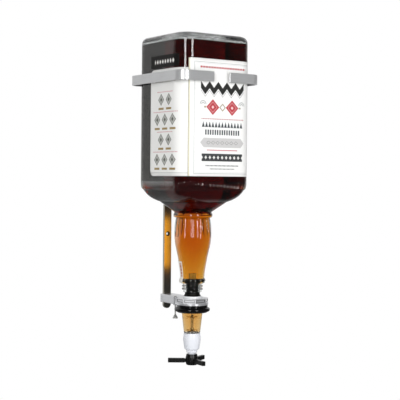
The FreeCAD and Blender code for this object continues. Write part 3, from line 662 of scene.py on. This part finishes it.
def front_print(tree, u, v):
    """From the top: a bold zigzag, a row of diamonds between fans of arcs, two rows of small marks, a
    pale panel with a chain in it, and a dark band of lozenges, inside a double rule."""
    right = FRONT_WIDTH / MM
    x = u - 64
    outline = frame_line(u, v, 9, right - 6, 4, 181, 0.6)
    inner_line = frame_line(u, v, 11, right - 8, 6, 179, 0.35)
    cord = block(x, v, -44, 46, 171.5, 174.5) & abs(x.cell(5.2)).below(1.8)
    fold = abs(x.cell(17)) * 1.2 - 5
    crest = v - 140 - fold
    zigzag = abs(crest).below(5.6) & abs(x).below(42.5)
    zigzag_line = abs(crest + 8.6).below(0.6) & abs(x).below(42.5)
    row = abs(v - 110)
    red = abs(abs(x) - 19) + row
    red_lines = red.within(7.8, 8.7) | red.below(3)
    khaki = (abs(x) + row).within(4.2, 6.4) | (row.below(1.3) & abs(x).within(32, 36))
    fan = (abs(x) - 38).away(v - 114)
    fans = fan.cell(2.8).within(-0.6, 0.6) & fan.below(7.5) & v.above(114)
    dashes = block(x, v, -41, 43, 90.5, 92) & abs(x.cell(3.4)).below(1.1)
    teeth = (abs(x.cell(6.2)) * 3.2 + v - 87).below(0.0) & block(x, v, -40, 40, 78, 87)
    pegs = abs(x.cell(4.6)).below(1.35) & block(x, v, -34, 34, 66, 74)
    panel = (abs(x) + abs(v - 53.5) * 0.9).below(43) & v.within(46, 61)
    chain = (abs(x.cell(9)) + abs(v - 53.5) * 1.3).within(3.1, 4.0) & abs(x).below(31)
    red_rule = block(x, v, -30, 30, 41, 42.3)
    band = block(x, v, -40, 40, 24, 36)
    lozenges = (abs(x.cell(8)) + abs(v - 30) * 0.8).below(2.5)
    notes = block(x, v, -33, 33, 16, 18) | block(x, v, -24, 24, 11, 12.6)
    notes = notes & abs(x.cell(2.6)).below(0.85)
    return inked(tree, linear("#f3f3f2"), [
        (u.below(2.4), "#dad6bd"), (outline, "#8e9294"), (inner_line, "#b9bcbd"), (cord, "#b32a38"),
        (zigzag, "#15171a"), (zigzag_line, "#8b8f92"), (fans, "#a3a6a6"), (khaki, "#a3957a"),
        (red.below(12.5), "#b9102c"), (red_lines, "#e9c9c8"), (dashes, "#b35560"),
        (teeth | pegs, "#3f464d"), (panel, "#c9c8c8"), (chain, "#7d7f80"), (red_rule, "#c2606a"),
        (band, "#34383c"), (lozenges & band, "#e6e6e4"), (notes, "#5b6064")])


def side_print(tree, u, v):
    """Four rows of small shaded diamonds, set as bricks are, with gilt bars and pink dashes between
    them, under a double rule."""
    rules = block(u, v, 14, 70, 153, 154.2) | block(u, v, 14, 70, 150, 150.6)
    x = u - 42
    row = (v - 24).cell(32)
    shift = abs((v - 24).cell(64)).above(16) * 11
    column = (x + shift).cell(22)
    rows = v.within(8, 136) & (abs(x) + shift).below(33.5)
    reach = abs(column) * 1.15 + abs(row - 2)
    bars = abs(row + 12.4).below(1.7) & abs(column).below(7.5)
    dashes = abs(row - 14.4).below(0.7) & abs(u.cell(3.4)).below(1.2)
    foot_rule = block(u, v, 0.0, SIDE_WIDTH / MM, 4.6, 5.4)
    return inked(tree, linear("#f0f0ee"), [
        (rules, "#8f8e86"), (reach.below(9.8) & rows, "#b4b5b0"),
        (reach.within(7.8, 9.8) & rows, "#74756f"), (reach.below(3.6) & rows, "#54554f"),
        (bars & rows, "#9a8452"), (dashes & rows, "#cf9aa0"), (foot_rule, "#9b9d9c")])


def strip_print(tree, u, v):
    """A row of white lozenges on black."""
    lozenge = (abs((u - 5).cell(7.5)) * (1 / 2.6) + abs(v - 9.5) * (1 / 4.2)).below(1.0)
    return inked(tree, linear("#0d0c0c"), [(lozenge & u.within(12, 68), "#e4e2df")])


paper_label("front_paper", (SEAM, SEAM + FRONT_WIDTH), 0.5 * MM,
            paper_material("front_paper", front_print), "front_label")
paper_label("side_paper", (REAR, SEAM - 0.3 * MM), 9 * MM,
            paper_material("side_paper", side_print), "side_label")
paper_label("strip_paper", (REAR, -8 * MM), 0.5 * MM,
            paper_material("strip_paper", strip_print, 0.02, 0.15), "band_label")

# ---------------------------------------------------------------- neck seal
# Uncoated paper strip with a faded red stripe, pasted down the left of the lower neck and over the
# glass bead above the thread.
SEAL_Z = np.linspace(-151.5, -186.5, 45) * MM
SEAL_HEADINGS = np.radians(np.linspace(150, 186, 25))
SEAL_WIDTH = 14 * MM
SEAL_LIFT = 0.25 * MM
BEAD_Z = LIP_Z + 18.25 * MM
BEAD_HALF = 4.6 * MM  # of its height
BEAD_RADIUS = 19.0 * MM  # at its edges
BEAD_SWELL = 2.5 * MM


def seal_print(tree, u, v):
    """Plain strip with a faded red stripe along it, broken by pale notches."""
    stripe = abs(u - 9.5).below(2.6) & v.within(3, 25)
    notch = abs(v.cell(5.5)).below(0.9)
    return inked(tree, linear("#e9e4dc"), [(stripe, "#b7664f"), (stripe & notch, "#dcc3b4")])


def neck_seal():
    """The strip follows the bulb's radius, and over the glass bead the bead's, which swells as half an
    ellipse does, whichever is more."""
    past = (SEAL_Z - BEAD_Z) / BEAD_HALF
    bead = BEAD_RADIUS + BEAD_SWELL * np.sqrt(np.clip(1 - past ** 2, 0, None))
    radius = np.maximum(bulb_radius(SEAL_Z), np.where(abs(past) < 1, bead, 0)) + SEAL_LIFT
    points = turned_points(radius, SEAL_Z, SEAL_HEADINGS)
    across = np.linspace(0, SEAL_WIDTH, len(SEAL_HEADINGS))
    uv = np.stack(np.meshgrid(across, SEAL_Z[0] - SEAL_Z), -1)
    strip = grid_piece("neck_seal", points[::-1], uv[::-1])
    thickened(strip, 1)
    strip.data.materials.append(paper_material("neck_seal", seal_print))
    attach(strip, "bracket")


neck_seal()

# ---------------------------------------------------------------- seat washer, nozzle body, spout
# White moulded acetal with a soft sheen, very slightly uneven from the mould. The nozzle body and spout
# have a greyer copy of it, painted shade.


def mould_skin():
    """Skin of moulded plastic or rubber: Tone goes from 0 to 1 with slow patches, Roughness swings
    over Gloss, Height is a fine spark grain."""
    tree, given, out = new_group(
        "mould_skin",
        [("Grain", "NodeSocketFloat", 900.0), ("Gloss", "NodeSocketFloat", 0.3)],
        ["Tone", "Roughness", "Height"])
    patches = noise(tree, place(tree), 60.0, 4.0)
    shine = patches * 0.16 + Field(tree, given.outputs["Gloss"])
    spark = noise(tree, place(tree), given.outputs["Grain"], 3.0)
    tree.links.new(spread(patches, 0.3, 0.7, 0.0, 1.0).socket, out.inputs["Tone"])
    tree.links.new(shine.socket, out.inputs["Roughness"])
    tree.links.new(spark.socket, out.inputs["Height"])
    return tree


MOULD_SKIN = mould_skin()


def skinned(tree, gloss, grain, depth):
    """Puts the shared moulded skin on a material; gives its tone socket."""
    skin = node(tree, "ShaderNodeGroup", {"Grain": grain, "Gloss": gloss}, node_tree=MOULD_SKIN)
    feed(tree, "Roughness", skin.outputs["Roughness"])
    bumped(tree, skin.outputs["Height"], depth, 0.5)
    return skin.outputs["Tone"]


def moulded(name, colour, worn, gloss, grain, depth, mirror=0.5, clear=0.0, bend=1.5):
    """Plastic or rubber of one colour with patches of a second. Clear is the share of light that it
    lets through, bend the refraction against what is round it."""
    made, tree = new_material(name, {"Specular IOR Level": mirror, "Transmission Weight": clear,
                                     "IOR": bend})
    tone = skinned(tree, gloss, grain, depth)
    feed(tree, "Base Color", blended(tree, tone, linear(worn), linear(colour)))
    return made


dress(moulded("white_acetal", "#fafbfd", "#f1f3f6", 0.22, 700.0, 0.02 * MM), "seat_washer")
# A greyer copy of the white acetal: painted shade on the nozzle body and spout.
dress(moulded("shaded_acetal", "#e9ebf1", "#e0e3ea", 0.22, 700.0, 0.02 * MM), "nozzle_body", "spout")

# ---------------------------------------------------------------- rubber pieces
# Black rubber: the ribbed stopper, the chamber's flat gasket and the spout seal. Pale milky silicone:
# the two valve discs and the nozzle's gasket.
dress(moulded("black_rubber", "#0a0a0a", "#111110", 0.3, 900.0, 0.04 * MM, 0.12),
      "stopper", "chamber_gasket", "spout_seal")
dress(moulded("gum_rubber", "#f0e4c8", "#e8d9b8", 0.2, 900.0, 0.04 * MM, clear=0.85, bend=1.06),
      "nozzle_gasket", "inlet_valve", "outlet_valve")

# ---------------------------------------------------------------- head and lock ring
# Black gloss mouldings: the head with its flange, and the ring that screws up under it.
dress(moulded("gloss_black", "#0b0b0c", "#111112", 0.05, 300.0, 0.01 * MM, 0.35),
      "optic_head", "lock_ring")

# ---------------------------------------------------------------- chamber and measured spirit
# Clear moulded measuring chamber, brim-full of spirit that ran in through the open upper valve.
CAVITY_FOOT = (11.6 * MM, 2 * MM)  # radius, height over the chamber's foot
LEDGE = ((13.86 * MM, 13.1 * MM), (14.46 * MM, 12.5 * MM))  # radius, depth under the chamber's top
CAVITY_MOUTH = 15.6 * MM
CHAMBER_WET = 0.2 * MM
BOSS_RADIUS = 8.1 * MM


def clear_plastic():
    """Clear plastic whose moulded skin is coarse and deep enough to show as ripples."""
    made, tree = new_material("clear_plastic", {"Base Color": (0.98, 0.97, 0.93, 1),
                                                "Transmission Weight": 1.0, "IOR": 1.49})
    skinned(tree, -0.04, 120.0, 0.15 * MM)
    return made


dress(clear_plastic(), "chamber")


def measured_spirit():
    """The measure, solid right through: it wraps both valves and their rod wherever they move. Outside
    it overlaps the chamber's wall a little and steps at its ledge; below it goes round the outlet
    boss."""
    low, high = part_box("chamber")[0].z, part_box("chamber")[1].z
    foot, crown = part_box("measure_fill")[0].z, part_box("measure_fill")[1].z
    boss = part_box("outlet_valve")[0].z
    outline = [(0, boss), (BOSS_RADIUS, boss), (BOSS_RADIUS, foot - CHAMBER_WET)]
    outline += [(CAVITY_FOOT[0] + CHAMBER_WET, low + CAVITY_FOOT[1] - CHAMBER_WET)]
    outline += [(radius + CHAMBER_WET, high - depth) for radius, depth in LEDGE]
    outline += [(CAVITY_MOUTH + CHAMBER_WET, crown), (0, crown)]
    return turned_piece("measured_spirit", outline)


poured(measured_spirit(), spirit("measured_spirit", (0.88, 0.6, 0.03, 1), 80.0), "measure_fill")

# ---------------------------------------------------------------- spindle, inlet tube, return spring
# Steel rod that joins both valves to the spout, and the tube in the plug, both bead-blasted pale; and
# the spring of bright drawn wire that pushes the spout down.
dress(metal("blasted_steel", "#f4f3ee", 0.5, (400, 400, 400), bare=0.0), "spindle", "inlet_tube")
dress(metal("spring_wire", "#b9b9b6", 0.22, (80, 80, 80)), "return_spring")

# ---------------------------------------------------------------- actuator
# Black moulded hub with three flat arms, satin, with slow patches in its sheen.
dress(moulded("satin_black", "#0b0b0a", "#131312", 0.26, 500.0, 0.03 * MM, 0.35), "actuator")

# ---------------------------------------------------------------- floor, lamps and camera
# A pale floor under the hung object that runs out into a white surround, and two soft boxes, one over
# the other, either side of the camera. A small hidden lamp stands for the amber light behind the neck.
FLOOR_HALF = 8.0
FLOOR_DROP = 0.18  # under the lowest piece
ROOM_LEVEL = 0.45  # of the light that the surround throws
FLAG_SHADE = 0.42
DARK_HEADING = math.radians(255)  # middle of the studio's unlit side
DARK_SIDE = (math.cos(DARK_HEADING), math.sin(DARK_HEADING), 0.0)
DARK_LEVEL = 0.05
LAMP_DISTANCE = 2.2


def seen_directly(tree):
    """1 for what the camera, a mirror or glass shows, 0 for what only lights the object."""
    path = node(tree, "ShaderNodeLightPath").outputs
    return Field(tree, path["Is Camera Ray"]) | Field(tree, path["Is Glossy Ray"]) \
        | Field(tree, path["Is Transmission Ray"])


def mirrored(tree):
    """1 for light that has been mirrored on its way."""
    return Field(tree, node(tree, "ShaderNodeLightPath").outputs["Glossy Depth"]).above(0.5)


def dimmed(white_share):
    """Level of a place that the camera sees white; in mirrors it goes from DARK_LEVEL to white by a
    share."""
    return mirrored(white_share.tree) * (white_share - 1) * (1 - DARK_LEVEL) + 1


def floor():
    """A wide square. Near the object it is plain and takes its shadow; with distance from the axis it
    fades to the white of the surround. Mirrors see it go dark towards the unlit side, and only a
    quarter as bright near the object as out past the lamps."""
    x, y = np.meshgrid((-FLOOR_HALF, FLOOR_HALF), (-FLOOR_HALF, FLOOR_HALF))
    height = cad_box[0][2] - FLOOR_DROP
    piece = grid_piece("floor", np.stack([x, y, np.full_like(x, height)], -1))
    made, tree = new_material("floor", {"Roughness": 0.9, "Specular IOR Level": 0.0})
    speckle = noise(tree, place(tree), 40.0)
    feed(tree, "Base Color", blended(tree, speckle.socket, linear("#fbfbfb"), linear("#ffffff")))
    x, y = place_fields(tree)[:2]
    y = y - AXIS_Y
    distance = x.away(y)
    share = ramp(distance, 0.08, 0.42) * seen_directly(tree) | mirrored(tree)
    facing = (x * DARK_SIDE[0] + y * DARK_SIDE[1]) / distance
    level = dimmed(ramp(facing, -0.3, -0.7) * (ramp(distance, 1.3, 2.2) * 0.75 + 0.25))
    white = node(tree, "ShaderNodeEmission", {"Color": (1, 1, 1, 1), "Strength": level.socket})
    plain = tree.nodes["Principled BSDF"]
    mixed = node(tree, "ShaderNodeMixShader",
                 {0: share.socket, 1: plain.outputs[0], 2: white.outputs[0]})
    tree.links.new(mixed.outputs[0], tree.nodes["Material Output"].inputs["Surface"])
    piece.data.materials.append(made)


floor()


def soft_box(name, heading, distance, height, width, tall, power):
    """A tall area lamp that faces the bottle's axis from one heading, in degrees counter-clockwise
    from +X. Glass passes it on only as a highlight on its outside."""
    data = bpy.data.lights.new(name, "AREA")
    data.shape = "RECTANGLE"
    data.size = width
    data.size_y = tall
    data.energy = power
    lamp = bpy.data.objects.new(name, data)
    bpy.context.scene.collection.objects.link(lamp)
    turn = math.radians(heading)
    away = Vector((math.cos(turn), math.sin(turn), 0))
    lamp.location = Vector((0, AXIS_Y, height)) + away * distance
    lamp.rotation_euler = away.to_track_quat("Z", "Y").to_euler()
    lamp.visible_camera = False
    lamp.visible_transmission = False
    return lamp


for name, heading, height, width, tall, power in (
        ("left_soft_box", 222, 0.44, 0.46, 0.76, 16), ("right_soft_box", 266, 0.44, 0.46, 0.76, 16),
        ("left_low_box", 222, -0.28, 0.3, 0.4, 2.1), ("right_low_box", 266, -0.28, 0.3, 0.4, 3.2)):
    soft_box(name, heading, LAMP_DISTANCE, height, width, tall, power)

# It stands between the neck and the bar, and is turned round to face the bar.
neck_glow = soft_box("neck_glow", 90, 0.03, -0.128, 0.06, 0.086, 0.024)
neck_glow.rotation_euler = Vector((0, -1, 0)).to_track_quat("Z", "Y").to_euler()
neck_glow.data.color = (1.0, 0.41, 0.01)
neck_glow.data.spread = math.radians(110)


def surround():
    """White room. What lights the object is one plain level; the camera, glass and mirrors see it
    white, apart from its dark side and, for mirrors, a grey flag that stands low round the rest."""
    world = bpy.data.worlds.new("surround")
    bpy.context.scene.world = world
    world.use_nodes = True
    tree = world.node_tree
    tree.nodes.clear()
    direction = node(tree, "ShaderNodeTexCoord").outputs["Generated"]
    dot = node(tree, "ShaderNodeVectorMath", {0: direction, 1: DARK_SIDE}, operation="DOT_PRODUCT")
    facing = Field(tree, dot.outputs["Value"])
    rise = Field(tree, node(tree, "ShaderNodeSeparateXYZ", {"Vector": direction}).outputs["Z"])
    flag = ramp(rise, -0.03, 0.0) * ramp(rise, 0.17, 0.14)
    shown = dimmed(ramp(facing, -0.2, -0.75) * (flag * -FLAG_SHADE + 1))
    level = seen_directly(tree) * (shown - ROOM_LEVEL) + ROOM_LEVEL
    light = node(tree, "ShaderNodeBackground", {"Color": (1, 1, 1, 1), "Strength": level.socket})
    node(tree, "ShaderNodeOutputWorld", {"Surface": light.outputs[0]})


surround()

CAMERA_HEADING = math.radians(235.5)
CAMERA_DISTANCE = 1.753
CAMERA_HEIGHT = -0.018
CAMERA_ROLL = math.radians(0.5)
SENSOR = 36.0
IMAGE = 400  # its side, and the next three, are in pixels
AXIS_PIXEL = 193.3
HORIZON_PIXEL = 180.0
FOCAL_PIXELS = 1063.0
camera_data = bpy.data.cameras.new("camera")
camera_data.sensor_width = SENSOR
camera_data.lens = SENSOR * FOCAL_PIXELS / IMAGE
camera_data.shift_x = (IMAGE / 2 - AXIS_PIXEL) / IMAGE
camera_data.shift_y = (HORIZON_PIXEL - IMAGE / 2) / IMAGE
camera_data.clip_end = 50
camera = bpy.data.objects.new("camera", camera_data)
bpy.context.scene.collection.objects.link(camera)
away = Vector((math.cos(CAMERA_HEADING), math.sin(CAMERA_HEADING), 0))
facing = away.to_track_quat("Z", "Y").to_matrix().to_4x4() @ Matrix.Rotation(CAMERA_ROLL, 4, "Z")
spot = Vector((0, AXIS_Y, CAMERA_HEIGHT)) + away * CAMERA_DISTANCE
camera.matrix_world = Matrix.Translation(spot) @ facing
bpy.context.scene.camera = camera
bpy.context.scene.view_settings.view_transform = "Standard"
